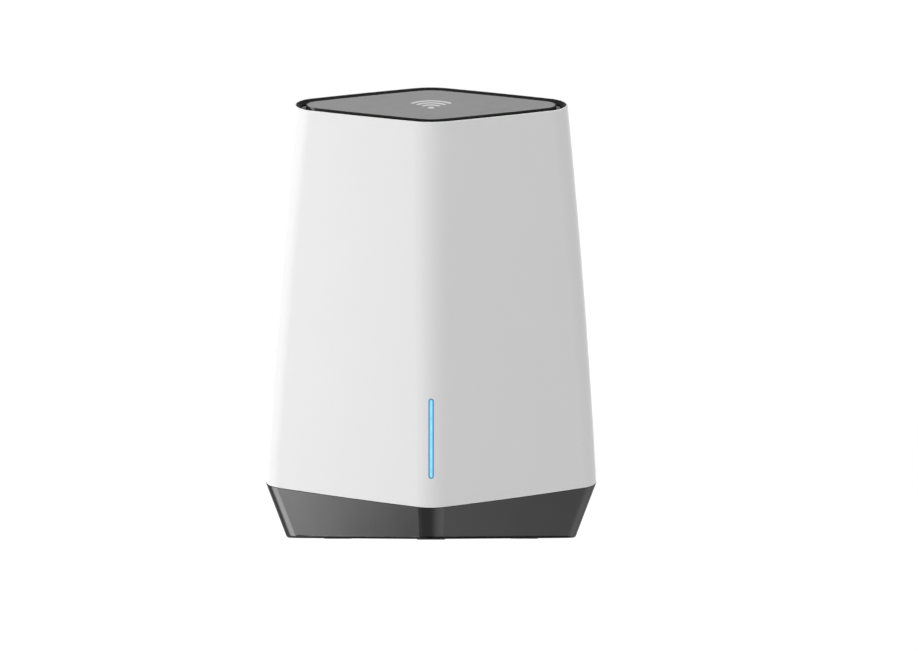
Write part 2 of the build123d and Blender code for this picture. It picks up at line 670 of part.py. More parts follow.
def socket_contacts():
    """Sprung wires that slope up from the mouth to the back of the cavity."""
    low = PLUG_LOW + INSERT_GAP
    outline = Polyline(
        (CONTACT_FRONT, low),
        (CONTACT_FRONT, low + CONTACT_THICK),
        (PLUG_BACK, CONTACT_BACK_LOW + CONTACT_THICK),
        (PLUG_BACK, CONTACT_BACK_LOW),
        close=True,
    )
    wire = extrude(Plane.YZ * make_face(outline), CONTACT_HALF_WIDTH, both=True)
    middle = (CONTACT_COUNT - 1) / 2
    return [Pos((k - middle) * CONTACT_PITCH, 0, 0) * wire for k in range(CONTACT_COUNT)]


def socket_lights():
    """Light guides beside the latch notch of every socket."""
    guides = []
    for x in SOCKET_X:
        for side in (-1, 1):
            guide = socket_window(side, (WINDOW_BACK + INSERT_GAP, SOCKET_DEPTH), 0)
            guides.append(Pos(x, 0, SOCKET_Z) * guide)
    return guides


def power_socket():
    """Body of the round power inlet."""
    size = (POWER_SOCKET_WIDTH, POWER_SOCKET_HEIGHT, POWER_SOCKET_CORNER)
    body = bar_y(POWER_X, SOCKET_Z, (BOARD_REAR, SOCKET_DEPTH), *size)
    mouth = (POWER_X, SOCKET_DEPTH + CUT, SOCKET_Z)
    return body - rod((POWER_X, POWER_BORE_BACK, SOCKET_Z), mouth, POWER_BORE_RADIUS)


def power_pin():
    """Centre pin of the power inlet."""
    end = (POWER_X, POWER_PIN_END, SOCKET_Z)
    pin = rod((POWER_X, POWER_BORE_BACK, SOCKET_Z), end, POWER_PIN_RADIUS)
    return fillet(pin.edges().sort_by(Axis.Y)[-1], HEAD_ROUND)


# ---- buttons and switches ---------------------------------------------------------------------
def sync_rod(back, end, radius):
    """Round bar along Y on the middle line of the sync key."""
    return rod((SYNC_X, back, SOCKET_Z), (SYNC_X, end, SOCKET_Z), radius)


def sync_button():
    """Round key with a flange that keeps it behind the panel."""
    cap = sync_rod(SYNC_KEY_BACK, SYNC_KEY_END, SYNC_KEY_RADIUS)
    cap = fillet(cap.edges().group_by(Axis.Y)[-1], KEY_ROUND)
    flange = sync_rod(SYNC_KEY_BACK, SYNC_FLANGE_END, SYNC_FLANGE_RADIUS)
    return cap + flange + sync_rod(SYNC_PLUNGER_END, SYNC_KEY_BACK, SYNC_STEM_RADIUS)


def power_bar(back, end, width, corner):
    """Square bar along Y on the middle line of the power key."""
    return bar_y(POWER_X, POWER_BUTTON_Z, (back, end), width, width, corner)


def power_button():
    """Square key that stands out of the panel by its travel and a little more."""
    cap = power_bar(POWER_KEY_BACK, POWER_KEY_END, POWER_KEY_WIDTH, POWER_KEY_CORNER)
    cap = fillet(cap.edges().group_by(Axis.Y)[-1], KEY_ROUND)
    flange = power_bar(POWER_KEY_BACK, POWER_FLANGE_END, POWER_FLANGE_WIDTH, POWER_KEY_CORNER)
    stem = power_bar(POWER_PLUNGER_END, POWER_KEY_BACK, POWER_STEM_WIDTH, KEY_ROUND)
    return cap + flange + stem


def tact_body(z):
    """Small square switch body with the bore of its plunger."""
    body = block(around(SYNC_X, TACT_HALF_WIDTH), (BOARD_REAR, TACT_TOP), around(z, TACT_HALF_WIDTH))
    bore = rod((SYNC_X, TACT_BORE_BACK, z), (SYNC_X, TACT_TOP + CUT, z), TACT_PLUNGER_RADIUS + PLUNGER_GAP)
    return body - bore


def tact_plunger(z, end):
    """Plunger of a small switch, reaching to end."""
    return rod((SYNC_X, TACT_PLUNGER_BACK, z), (SYNC_X, end, z), TACT_PLUNGER_RADIUS)


def power_switch_body():
    """Switch body behind the power key, with the bore of its plunger."""
    body = power_bar(BOARD_REAR, POWER_SWITCH_TOP, POWER_SWITCH_WIDTH, KEY_GAP)
    back = POWER_PLUNGER_BACK - POWER_TRAVEL_ROOM
    return body - power_bar(back, POWER_SWITCH_TOP + CUT, POWER_PLUNGER_WIDTH + 2 * PLUNGER_GAP, KEY_GAP)


def power_switch_plunger():
    """Square plunger of the power switch."""
    return power_bar(POWER_PLUNGER_BACK, POWER_PLUNGER_END, POWER_PLUNGER_WIDTH, KEY_GAP)


# ---- light strip ------------------------------------------------------------------------------
def light_pipe():
    """Clear bar in the front ridge, nearly flush with it, with a flange inside the wall."""
    bar = strip_bar((-REACH, PIPE_FLANGE_REAR), -STRIP_GAP) & shell_form(STRIP_DROP)
    tail = strip_bar((PIPE_FLANGE_REAR, PIPE_END), -STRIP_GAP)
    return bar + strip_bar((PIPE_FLANGE_FRONT, PIPE_FLANGE_REAR), PIPE_FLANGE) + tail


def light_shroud():
    """Black channel that clamps the light pipe and holds the lamp board, with two screw ears."""
    across = around(0, SHROUD_HALF_WIDTH)
    body = block(across, (PIPE_FLANGE_REAR, SHROUD_REAR), (SHROUD_LOW, SHROUD_HIGH))
    for z in LIGHT_SCREW_Z:
        ear = around(0, LIGHT_EAR_HALF), (PIPE_FLANGE_REAR, LIGHT_EAR_REAR), around(z, LIGHT_EAR_HALF)
        hole = rod((0, PIPE_FLANGE_REAR - CUT, z), (0, LIGHT_EAR_REAR + CUT, z), CLEAR_RADIUS)
        body = body + block(*ear) - hole
    body = body - strip_bar((PIPE_FLANGE_REAR - CUT, SHROUD_FACE + CUT), PIPE_ROOM)
    notch = (LED_BOARD_REAR, SHROUD_REAR + CUT), (SHROUD_LOW - CUT, LED_BOARD_LOW + OVERLAP)
    body = body - block(around(0, RIBBON_HALF_WIDTH + OVERLAP), *notch)
    room = (LED_BOARD_LOW - LED_BOARD_GAP, LED_BOARD_HIGH + LED_BOARD_GAP)
    inside = around(0, LED_BOARD_HALF_WIDTH + LED_BOARD_GAP)
    return body - block(inside, (SHROUD_FACE, SHROUD_REAR + CUT), room)


def led_board():
    """Narrow board behind the light pipe."""
    across = around(0, LED_BOARD_HALF_WIDTH)
    return block(across, (LED_BOARD_FRONT, LED_BOARD_REAR), (LED_BOARD_LOW, LED_BOARD_HIGH))


def status_leds():
    """Row of lamps on the narrow board."""
    y = (LED_BOARD_FRONT - LED_THICK, LED_BOARD_FRONT)
    lamps = []
    for k in range(LED_COUNT):
        z = around(LED_FIRST_Z + k * LED_PITCH, LED_HALF_HEIGHT)
        lamps.append(block(around(0, LED_HALF_WIDTH), y, z))
    return lamps


def led_cable():
    """Flat lead from the foot of the lamp board to the main board, bent once."""
    y = LED_BOARD_REAR + RIBBON_THICK
    corners = [(y, RIBBON_TOP), (y, RIBBON_LOW), (BOARD_FRONT, RIBBON_LOW)]
    path = FilletPolyline(*corners, radius=RIBBON_BEND)
    return extrude(Plane.YZ * trace(path, RIBBON_THICK), RIBBON_HALF_WIDTH, both=True)


# ---- boards, cans and heat sinks --------------------------------------------------------------
def hole_y(x, z, y, radius):
    """Round hole along Y, running past both Y values."""
    return rod((x, y[0] - CUT, z), (x, y[1] + CUT, z), radius)


def main_board():
    """Upright main board with its mounting holes."""
    y = (BOARD_FRONT, BOARD_REAR)
    middle = (BOARD_LOW + BOARD_HIGH) / 2
    board = bar_y(0, middle, y, 2 * BOARD_HALF_WIDTH, BOARD_HIGH - BOARD_LOW, BOARD_CORNER)
    for x, z in BOARD_SCREWS + SINK_SCREWS:
        board = board - hole_y(x, z, y, CLEAR_RADIUS)
    return board


def processor_chip():
    """Main processor, on the front of the board."""
    x, z = PROCESSOR
    return block(x, (BOARD_FRONT - PROCESSOR_THICK, BOARD_FRONT), z)


def memory_chips():
    """Two memory chips beside the processor and a storage chip outside the can."""
    return [block(x, (BOARD_FRONT - MEMORY_THICK, BOARD_FRONT), z) for x, z in MEMORY]


def can(plan, face, way):
    """Thin metal can over a group of chips, standing off face in the direction way (-1 or 1)."""
    x, z = plan
    outer = block(x, sorted((face, face + way * CAN_HEIGHT)), z)
    inside_x = (x[0] + SHEET, x[1] - SHEET)
    inside_z = (z[0] + SHEET, z[1] - SHEET)
    depth = way * (CAN_HEIGHT - SHEET)
    return outer - block(inside_x, sorted((face - way * CUT, face + depth)), inside_z)


def processor_shield():
    """Can over the processor and memory."""
    return can(PROCESSOR_CAN, BOARD_FRONT, -1)


def radio_shields():
    """Cans over the three radios: two on the front of the board and one behind."""
    return [can(plan, BOARD_FRONT, -1) for plan in FRONT_RADIO_CANS] + [can(REAR_RADIO_CAN, BOARD_REAR, 1)]


def thermal_pads():
    """Soft pads between the cans and the heat sinks."""
    front = (FRONT_SINK_FACE, BOARD_FRONT - CAN_HEIGHT)
    rear = (BOARD_REAR + CAN_HEIGHT, REAR_SINK_FACE)
    pads = []
    for plan, y in [(plan, front) for plan in [PROCESSOR_CAN] + FRONT_RADIO_CANS] + [(REAR_RADIO_CAN, rear)]:
        x, z = plan
        inner_x = (x[0] + PAD_MARGIN, x[1] - PAD_MARGIN)
        pads.append(block(inner_x, y, (z[0] + PAD_MARGIN, z[1] - PAD_MARGIN)))
    return pads


def heat_sink(face, way, low, screw_hole):
    """Finned heat sink whose fins follow the diamond plan, facing way from the board."""
    back = face + way * SINK_PLATE
    base = sorted((face, back))
    shape = block(around(0, SINK_HALF_WIDTH), base, (low, SINK_HIGH))
    for k in range(FIN_COUNT):
        x = (k - (FIN_COUNT - 1) / 2) * FIN_PITCH
        tip = way * min(FIN_LONGEST, FIN_PEAK - FIN_FALL * abs(x))
        fin = sorted((back - way * OVERLAP, tip))
        shape = shape + block(around(x, FIN_THICK / 2), fin, (low, SINK_HIGH))
    for x, z in SINK_SCREWS:
        shape = shape - hole_y(x, z, base, screw_hole)
    return shape


def front_heat_sink():
    """Heat sink in front of the board, with the threaded holes."""
    return heat_sink(FRONT_SINK_FACE, -1, FRONT_SINK_LOW, PILOT_RADIUS)


def rear_heat_sink():
    """Heat sink behind the board, above the socket bay."""
    return heat_sink(REAR_SINK_FACE, 1, REAR_SINK_LOW, CLEAR_RADIUS)


def frame_foot(x):
    """Foot of the frame, standing on two bosses of the tub, with its rib."""
    y = around(0, FRAME_FOOT_REACH)
    foot = block(around(x, FRAME_FOOT_HALF_WIDTH), y, (FRAME_LOW, FRAME_FOOT_TOP))
    inner = FRAME_FRONT + CUT
    low = FRAME_FOOT_TOP - OVERLAP
    outline = Polyline((-FRAME_FOOT_REACH, low), (inner, low), (inner, FRAME_RIB_TOP), close=True)
    return foot + Pos(x, 0, 0) * extrude(Plane.YZ * make_face(outline), FRAME_RIB_HALF, both=True)


def stake(x, z):
    """Short pin behind the frame that an aerial board hangs on."""
    return rod((x, BOARD_FRONT - OVERLAP, z), (x, BOARD_REAR, z), STAKE_RADIUS)


def inner_frame():
    """Plastic frame that carries the board and aerials and stands on the tub."""
    y = (FRAME_FRONT, BOARD_FRONT)
    window = around(0, FRAME_HALF_WIDTH - FRAME_SIDE), (-REACH, REACH)
    shape = block(around(0, FRAME_HALF_WIDTH), y, (FRAME_LOW, FRAME_HIGH))
    shape = shape - block(*window, (FRAME_LOW + FRAME_END, FRAME_HIGH - FRAME_END))
    for x in sorted({x for x, _ in FRAME_SCREWS}):
        shape = shape + frame_foot(x)
    for x, y_at in FRAME_SCREWS:
        shape = shape - rod((x, y_at, 0), (x, y_at, FRAME_FOOT_TOP + CUT), PILOT_RADIUS)
    for x, z in BOARD_SCREWS:
        end = BOARD_REAR - BOARD_SCREW_LENGTH - OVERLAP
        shape = shape - rod((x, end, z), (x, BOARD_REAR, z), PILOT_RADIUS)
    for side in (-1, 1):
        tab_x = mirrored(SIDE_TAB, side)
        for _, (low, high) in SIDE_AERIALS.values():
            z = (low + high) / 2
            tab = block(tab_x, (FRAME_FRONT + CUT, BOARD_FRONT), around(z, SIDE_TAB_HALF_HEIGHT))
            shape = shape + tab + stake(side * SIDE_STAKE_X, z)
        x, z = TOP_STAKE
        tab_z = (FRAME_HIGH - OVERLAP, z + TOP_TAB_HALF)
        shape = shape + block(around(side * x, TOP_TAB_HALF), y, tab_z) + stake(side * x, z)
    return shape


# ---- aerials and their leads ------------------------------------------------------------------
def aerial(plan, side, hole_x, hole_z):
    """Flat aerial board hanging on a stake of the frame."""
    x, z = plan
    y = (BOARD_FRONT, BOARD_FRONT + AERIAL_THICK)
    plate = block(mirrored(x, side), y, z)
    return plate - hole_y(side * hole_x, hole_z, y, STAKE_RADIUS + STAKE_GAP)


def side_aerial(side, level):
    """Aerial beside the frame."""
    plan = SIDE_AERIALS[level]
    return aerial(plan, side, SIDE_STAKE_X, sum(plan[1]) / 2)


def top_aerial(side):
    """Aerial above the frame."""
    return aerial(TOP_AERIAL, side, *TOP_STAKE)


def aerial_lead(points):
    """Coax lead along a bent route, with a soldered end and a snap-on plug at the board."""
    route = FilletPolyline(*[(x, CABLE_Y, z) for x, z in points], radius=CABLE_BEND)
    lead = sweep(Plane(origin=route @ 0, z_dir=route % 0) * Circle(CABLE_RADIUS), path=route)
    x, z = points[0]
    pad = (BOARD_FRONT + AERIAL_THICK, CABLE_Y)
    solder = block(around(x, SOLDER_HALF), pad, around(z, SOLDER_HALF))
    x, z = points[-1]
    plug = rod((x, BOARD_REAR, z), (x, LEAD_PLUG_TOP, z), LEAD_PLUG_RADIUS)
    return lead + solder + plug


def aerial_leads():
    """The leads of all six aerials."""
    leads = []
    for side in (-1, 1):
        for route in LEAD_ROUTES:
            leads.append(aerial_lead([(side * x, z) for x, z in route]))
    return leads


# ---- fasteners --------------------------------------------------------------------------------
def base_screws():
    """Eight screws up through the tub into the frame and the shell posts."""
    places = FRAME_SCREWS + SHELL_SCREWS
    return [screw((x, y, TUB_HEAD_SEAT), (0, 0, 1), BASE_SCREW_LENGTH) for x, y in places]


def board_screws():
    """Four screws that hold the main board to the frame."""
    return [screw((x, BOARD_REAR, z), (0, -1, 0), BOARD_SCREW_LENGTH) for x, z in BOARD_SCREWS]


def sink_screws():
    """Four screws that clamp both heat sinks to the board, ending just inside the front one."""
    seat = REAR_SINK_FACE + SINK_PLATE
    length = seat - FRONT_SINK_FACE + SINK_PLATE - KEY_GAP
    return [screw((x, seat, z), (0, -1, 0), length) for x, z in SINK_SCREWS]


def cap_screws():
    """Four screws from inside the shells up into the cap."""
    plane = slanted(TOP.height)
    seat = -CAP_EAR_TOP - CAP_EAR_THICK
    return [plane * screw((x, v, seat), (0, 0, 1), CAP_SCREW_LENGTH) for x, v in CAP_SCREWS]


def light_screws():
    """Two screws that hold the light shroud to the front shell."""
    return [screw((0, LIGHT_EAR_REAR, z), (0, -1, 0), LIGHT_SCREW_LENGTH) for z in LIGHT_SCREW_Z]


def all_nodes():
    """Every sub-part by name."""
    nodes = {
        "front_shell": front_shell(),
        "rear_shell": rear_shell(),
        "tub": tub(),
        "cap_bezel": cap_bezel(),
        "top_plate": top_plate(),
        "port_bay": port_bay(),
        "socket_lights": socket_lights(),
        "power_socket_body": power_socket(),
        "power_socket_pin": power_pin(),
        "sync_button": sync_button(),
        "sync_switch_body": tact_body(SOCKET_Z),
        "sync_switch_plunger": tact_plunger(SOCKET_Z, SYNC_PLUNGER_END),
        "reset_switch_body": tact_body(RESET_Z),
        "reset_switch_plunger": tact_plunger(RESET_Z, RESET_PLUNGER_END),
        "power_button": power_button(),
        "power_switch_body": power_switch_body(),
        "power_switch_plunger": power_switch_plunger(),
        "light_pipe": light_pipe(),
        "light_shroud": light_shroud(),
        "led_board": led_board(),
        "status_leds": status_leds(),
        "led_cable": led_cable(),
        "main_board": main_board(),
        "processor_chip": processor_chip(),
        "memory_chips": memory_chips(),
        "processor_shield": processor_shield(),
        "radio_shields": radio_shields(),
        "thermal_pads": thermal_pads(),
        "front_heat_sink": front_heat_sink(),
        "rear_heat_sink": rear_heat_sink(),
        "inner_frame": inner_frame(),
        "aerial_leads": aerial_leads(),
        "base_screws": base_screws(),
        "board_screws": board_screws(),
        "heat_sink_screws": sink_screws(),
        "cap_screws": cap_screws(),
        "light_screws": light_screws(),
    }
    for name in FEET:
        nodes[f"foot_{name}"] = foot_pad(name)
    for side, label in ((-1, "left"), (1, "right")):
        for level in SIDE_AERIALS:
            nodes[f"aerial_{label}_{level}"] = side_aerial(side, level)
        nodes[f"aerial_{label}_top"] = top_aerial(side)
    for number, x in enumerate(SOCKET_X, start=1):
        place = Pos(x, 0, SOCKET_Z)
        nodes[f"socket_{number}_shield"] = place * socket_shield()
        nodes[f"socket_{number}_insert"] = place * socket_insert()
        nodes[f"socket_{number}_contacts"] = [place * wire for wire in socket_contacts()]
    return nodes


def write_parts():
    """Writes one STEP file for each sub-part."""
    os.makedirs("parts", exist_ok=True)
    for name, shape in all_nodes().items():
        solids = shape if isinstance(shape, list) else [shape]
        pieces = [solid for item in solids for solid in item.solids()]
        export_step(Compound(pieces) if len(pieces) > 1 else pieces[0], f"parts/{name}.step")


write_parts()
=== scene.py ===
import json
import math

import bpy
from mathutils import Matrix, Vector


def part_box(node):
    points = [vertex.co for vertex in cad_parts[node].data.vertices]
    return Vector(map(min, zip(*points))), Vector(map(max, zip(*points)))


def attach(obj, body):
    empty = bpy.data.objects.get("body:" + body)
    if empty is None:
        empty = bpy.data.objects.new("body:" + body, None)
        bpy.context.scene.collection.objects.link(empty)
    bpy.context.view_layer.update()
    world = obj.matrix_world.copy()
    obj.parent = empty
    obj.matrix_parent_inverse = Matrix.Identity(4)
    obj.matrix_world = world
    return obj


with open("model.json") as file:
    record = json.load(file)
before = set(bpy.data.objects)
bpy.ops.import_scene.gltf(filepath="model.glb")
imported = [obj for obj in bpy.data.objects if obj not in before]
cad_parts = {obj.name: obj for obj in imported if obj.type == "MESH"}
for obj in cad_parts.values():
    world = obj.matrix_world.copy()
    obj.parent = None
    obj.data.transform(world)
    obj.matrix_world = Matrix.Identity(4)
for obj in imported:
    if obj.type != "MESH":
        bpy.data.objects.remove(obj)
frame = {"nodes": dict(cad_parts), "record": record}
bpy.context.view_layer.update()

# Metres throughout, in the frame of the CAD: +Z up, light strip towards -Y, sockets towards +Y.
# Names that end in _MM hold millimetres.
MM = 0.001


# ---- material helpers -------------------------------------------------------------------------
MIX_A = 6  # places of the colours among the sockets of a Mix node
MIX_B = 7
MIX_RESULT = 2


def grey(value):
    """Neutral colour of one brightness."""
    return (value, value, value, 1.0)


def tint(colour, share):
    """Colour made brighter or darker by a share."""
    return tuple(min(1.0, part * (1 + share)) for part in colour[:3]) + (1.0,)


def add(tree, kind, inputs=None, **settings):
    """New node with its settings, and its inputs set to values or linked to sockets."""
    node = tree.nodes.new(kind)
    for name, value in settings.items():
        setattr(node, name, value)
    for name, value in (inputs or {}).items():
        if isinstance(value, bpy.types.NodeSocket):
            tree.links.new(value, node.inputs[name])
        else:
            node.inputs[name].default_value = value
    return node


def calculate(tree, operation, first, second=0.0):
    """Result of one sum on one or two values."""
    return add(tree, "ShaderNodeMath", {0: first, 1: second}, operation=operation).outputs[0]


def remap(tree, value, low, high, start=0.3, end=0.7):
    """Value from start..end brought to low..high."""
    return add(
        tree,
        "ShaderNodeMapRange",
        {"Value": value, "From Min": start, "From Max": end, "To Min": low, "To Max": high},
    ).outputs["Result"]


def blend(tree, factor, first, second):
    """Colour between first and second."""
    node = add(tree, "ShaderNodeMix", data_type="RGBA")
    tree.links.new(factor, node.inputs["Factor"])
    for socket, value in ((node.inputs[MIX_A], first), (node.inputs[MIX_B], second)):
        if isinstance(value, bpy.types.NodeSocket):
            tree.links.new(value, socket)
        else:
            socket.default_value = value
    return node.outputs[MIX_RESULT]


def place(tree, stretch=(1.0, 1.0, 1.0)):
    """Position on the object, in metres, stretched along the axes."""
    coordinates = add(tree, "ShaderNodeTexCoord").outputs["Object"]
    mapping = add(tree, "ShaderNodeMapping", {"Vector": coordinates, "Scale": stretch})
    return mapping.outputs["Vector"]


def noise(tree, size_mm, detail=2.0, stretch=(1.0, 1.0, 1.0)):
    """Noise whose blotches are about size_mm across."""
    return add(
        tree,
        "ShaderNodeTexNoise",
        {"Vector": place(tree, stretch), "Scale": 1.0 / (size_mm * MM), "Detail": detail},
    ).outputs["Fac"]


def bump(tree, shader, height, depth_mm):
    """Relief of depth_mm on the shader, from a height between 0 and 1."""
    node = add(tree, "ShaderNodeBump", {"Height": height, "Distance": depth_mm * MM})
    tree.links.new(node.outputs["Normal"], shader.inputs["Normal"])


def new_material(name, **sockets):
    """Material with an output and a shader only, and values for some of the shader's sockets."""
    material = bpy.data.materials.new(name)
    material.use_nodes = True
    tree = material.node_tree
    tree.nodes.clear()
    output = tree.nodes.new("ShaderNodeOutputMaterial")
    shader = tree.nodes.new("ShaderNodeBsdfPrincipled")
    tree.links.new(shader.outputs["BSDF"], output.inputs["Surface"])
    for socket, value in sockets.items():
        shader.inputs[socket.replace("_", " ")].default_value = value
    return material, tree, shader


# ---- materials --------------------------------------------------------------------------------
MOTTLE_MM = 28.0  # patches of slightly different colour on a moulding
GLOSS_MM = 9.0  # patches of slightly different gloss on a moulding
GLOSS_SPREAD = 0.08
HOLLOW_SHADE_RANGE = (0.35, 0.65)  # part of the grain's range over which its hollows are darkened, as painted shade

STAIN_MM = 14.0  # duller patches on a metal
STAIN_SHARE = 0.08
LINE_SHARE = 0.12  # how much darker the lines on a metal are
LINE_DEPTH_MM = 0.004
POLISHED = 0.75  # least and most roughness of a metal, as shares of its own
DULLED = 1.3

TRACKS = {
    "Scale": 90.0,
    "Mortar Size": 0.03,
    "Mortar Smooth": 0.1,
    "Row Height": 0.14,
    "Brick Width": 0.9,
}
TRACK_SHINE = 0.9
TRACK_DEPTH_MM = 0.02
COPPER_SCALE = 60.0
COPPER_EDGE = (0.35, 0.37)
COPPER_SHINE = 0.45
VIA_SCALE = 300.0
VIA_EDGE = (0.14, 0.17)
VIA_GOLD = (0.72, 0.5, 0.2, 1.0)
MASK_PATCH_MM = 6.0
MASK_ROUGHNESS = (0.3, 0.42)

STRIP_CORE_MM = 0.35  # from the middle line, where the strip's pale core ends
STRIP_RIM_MM = 1.15  # and where its blue rim is deepest
STRIP_GLOW = 0.91
STRIP_ROUGHNESS = 0.25
STRIP_HAZE = 0.25
STRIP_HAZE_MM = 5.0
STRIP_WAVE_MM = 1.2
STRIP_DEPTH_MM = 0.004
GLOW_CORE = (0.30, 0.79, 0.94, 1.0)
GLOW_RIM = (0.03, 0.14, 0.37, 1.0)
UNLIT_CORE = (0.10, 0.22, 0.26, 1.0)
UNLIT_RIM = (0.03, 0.08, 0.18, 1.0)


def moulded(name, colour, roughness, grain_mm, depth_mm, spread, **sockets):
    """Moulded plastic or rubber: spark-eroded grain with painted shade in its hollows, slight
    mottling and uneven gloss.
    """
    material, tree, shader = new_material(name, **sockets)
    mottle = remap(tree, noise(tree, MOTTLE_MM, detail=3.0), 0.0, 1.0)
    grain = noise(tree, grain_mm, detail=3.0)
    base = blend(tree, mottle, tint(colour, -spread), tint(colour, spread))
    # Painted shade: the grain's hollows, the low places of its relief, are darkened.
    hollow_shade = remap(tree, grain, 0.0, 1.0, *HOLLOW_SHADE_RANGE)
    tree.links.new(blend(tree, hollow_shade, tint(colour, -spread), base), shader.inputs["Base Color"])
    least = roughness * (1 - GLOSS_SPREAD)
    most = roughness * (1 + GLOSS_SPREAD)
    gloss = remap(tree, noise(tree, GLOSS_MM, detail=4.0), least, most)
    tree.links.new(gloss, shader.inputs["Roughness"])
    bump(tree, shader, grain, depth_mm)
    return material


def worked_metal(name, colour, roughness, stretch, line_mm):
    """Rolled, drawn or extruded metal with fine lines along one axis."""
    material, tree, shader = new_material(name, Metallic=1.0)
    lines = noise(tree, line_mm, detail=4.0, stretch=stretch)
    stain = remap(tree, noise(tree, STAIN_MM, detail=3.0), 0.0, 1.0)
    dull = blend(tree, stain, tint(colour, -STAIN_SHARE), tint(colour, STAIN_SHARE / 2))
    shade = remap(tree, lines, 0.0, 1.0)
    tree.links.new(blend(tree, shade, tint(colour, -LINE_SHARE), dull), shader.inputs["Base Color"])
    gloss = remap(tree, lines, roughness * POLISHED, roughness * DULLED)
    tree.links.new(gloss, shader.inputs["Roughness"])
    bump(tree, shader, lines, LINE_DEPTH_MM)
    return material


def circuit_board(name, mask):
    """Solder mask over copper: straight tracks, filled areas and small gilded vias."""
    material, tree, shader = new_material(name)
    flat = place(tree, (1.0, 0.0, 1.0))
    tracks = add(tree, "ShaderNodeTexBrick", {"Vector": flat, **TRACKS}).outputs["Fac"]
    where = place(tree)
    areas = add(
        tree, "ShaderNodeTexVoronoi", {"Vector": where, "Scale": COPPER_SCALE}, distance="CHEBYCHEV"
    ).outputs["Distance"]
    filled = remap(tree, areas, 0.0, 1.0, *COPPER_EDGE)
    vias = add(tree, "ShaderNodeTexVoronoi", {"Vector": where, "Scale": VIA_SCALE})
    dots = remap(tree, vias.outputs["Distance"], 1.0, 0.0, *VIA_EDGE)
    laid = blend(tree, tracks, mask, tint(mask, TRACK_SHINE))
    laid = blend(tree, filled, tint(mask, COPPER_SHINE), laid)
    tree.links.new(blend(tree, dots, laid, VIA_GOLD), shader.inputs["Base Color"])
    gloss = remap(tree, noise(tree, MASK_PATCH_MM), *MASK_ROUGHNESS)
    tree.links.new(gloss, shader.inputs["Roughness"])
    bump(tree, shader, tracks, TRACK_DEPTH_MM)
    return material


def from_middle_line(tree, node):
    """Distance from the middle line of an upright strip with round ends."""
    low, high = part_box(node)
    half_line = (high.z - low.z - high.x + low.x) / 2
    parts = add(tree, "ShaderNodeSeparateXYZ", {"Vector": place(tree)})
    rise = calculate(tree, "SUBTRACT", parts.outputs["Z"], (low.z + high.z) / 2)
    rise = calculate(tree, "ABSOLUTE", rise)
    past = calculate(tree, "SUBTRACT", rise, half_line)
    past = calculate(tree, "MAXIMUM", past, 0.0)
    offset = add(tree, "ShaderNodeCombineXYZ", {"X": parts.outputs["X"], "Z": past})
    length = add(
        tree, "ShaderNodeVectorMath", {0: offset.outputs["Vector"]}, operation="LENGTH"
    )
    return length.outputs["Value"]


def lit_strip(name):
    """Light pipe lit from behind: palest along its middle, deeper blue towards its edges."""
    material, tree, shader = new_material(
        name, Roughness=STRIP_ROUGHNESS, Emission_Strength=STRIP_GLOW
    )
    away = from_middle_line(tree, name)
    edge = remap(tree, away, 0.0, 1.0, STRIP_CORE_MM * MM, STRIP_RIM_MM * MM)
    haze = remap(tree, noise(tree, STRIP_HAZE_MM), 0.0, STRIP_HAZE)
    edge = calculate(tree, "MAXIMUM", edge, haze)
    tree.links.new(blend(tree, edge, GLOW_CORE, GLOW_RIM), shader.inputs["Emission Color"])
    tree.links.new(blend(tree, edge, UNLIT_CORE, UNLIT_RIM), shader.inputs["Base Color"])
    bump(tree, shader, noise(tree, STRIP_WAVE_MM), STRIP_DEPTH_MM)
    return material


# Colour, roughness, grain and its depth in millimetres, and spread of the colour.
MOULDED = {
    "shell_white": (grey(0.8), 0.5, 0.5, 0.006, 0.008),
    "cap_black": (grey(0.006), 0.18, 0.8, 0.003, 0.1),
    "plate_grey": (grey(0.2), 0.5, 0.3, 0.005, 0.03),
    "bay_black": (grey(0.022), 0.5, 0.6, 0.02, 0.08),
    "foot_rubber": (grey(0.03), 0.75, 0.8, 0.03, 0.12),
    "shroud_black": (grey(0.02), 0.6, 0.6, 0.02, 0.08),
    "button_black": (grey(0.05), 0.4, 0.4, 0.01, 0.06),
    "link_light": ((0.62, 0.66, 0.58, 1.0), 0.2, 2.0, 0.01, 0.04),
    "socket_black": (grey(0.025), 0.45, 0.5, 0.012, 0.06),
    "switch_black": (grey(0.03), 0.5, 0.5, 0.012, 0.06),
    "plunger_white": ((0.68, 0.68, 0.62, 1.0), 0.45, 0.5, 0.01, 0.04),
    "chip_black": (grey(0.03), 0.6, 0.25, 0.01, 0.08),
    "pad_grey": ((0.32, 0.42, 0.5, 1.0), 0.85, 0.7, 0.05, 0.08),
    "frame_black": (grey(0.035), 0.55, 0.7, 0.02, 0.08),
    "lead_black": (grey(0.025), 0.4, 1.0, 0.01, 0.1),
    "ribbon_white": ((0.7, 0.7, 0.66, 1.0), 0.5, 0.6, 0.01, 0.04),
    "lamp_yellow": ((0.85, 0.75, 0.3, 1.0), 0.25, 0.8, 0.01, 0.05),
    "print_white": (grey(0.6), 0.55, 0.3, 0.004, 0.03),
}

# Colour, roughness, stretch (least along the lines) and spacing of the lines in millimetres.
WORKED_METAL = {
    "socket_steel": (grey(0.62), 0.3, (1.0, 0.05, 1.0), 0.5),
    "contact_gold": ((0.83, 0.56, 0.2, 1.0), 0.22, (1.0, 0.05, 1.0), 0.2),
    "can_steel": (grey(0.66), 0.32, (1.0, 1.0, 0.05), 0.5),
    "sink_aluminium": (grey(0.74), 0.36, (1.0, 1.0, 0.03), 0.5),
    "screw_steel": (grey(0.5), 0.3, (1.0, 1.0, 0.3), 0.4),
}

# Colour of the solder mask.
CIRCUIT_BOARD = {
    "board_green": (0.012, 0.10, 0.045, 1.0),
    "board_dark": (0.015, 0.02, 0.035, 1.0),
}

# Metallic grey finish of the tub. Its reflection stays low at grazing angles too.
TUB_FINISH = (grey(0.1), 0.21, 0.35, 0.003, 0.05)
TUB_EDGE = grey(0.5)


